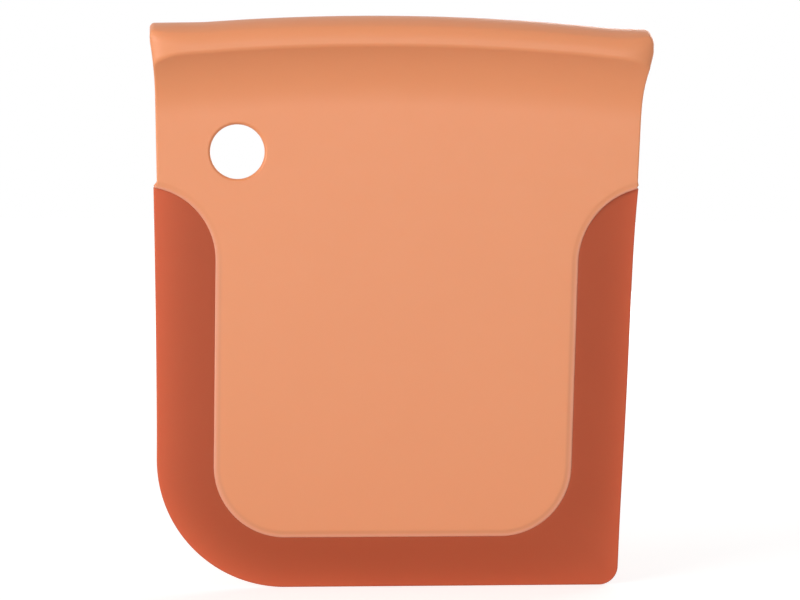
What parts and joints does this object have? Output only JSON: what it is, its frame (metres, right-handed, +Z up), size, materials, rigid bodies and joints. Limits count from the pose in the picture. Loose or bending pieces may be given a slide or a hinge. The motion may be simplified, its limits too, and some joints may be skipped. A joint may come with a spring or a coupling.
{
  "type": "bowl scraper",
  "caption": "Flat bowl scraper: a stiff plastic plate with an arched grip bar and a hanging hole, edged on three sides with a soft tapering silicone blade.",
  "frame": {"origin": "middle of the grip's width, middle of the plate's thickness, at the lowest line of the blade", "axes": "+Z up the plate from the blade to the grip, -Y towards the viewer of the front, +X to the right as seen from the front"},
  "size_m": [0.1202, 0.016, 0.1374],
  "materials": {
    "plate": "satin peach plastic",
    "silicone": "matt terracotta silicone"
  },
  "bodies": {
    "root": {"plate_and_grip": "plate", "silicone_edge": "silicone"}
  },
  "joints": []
}
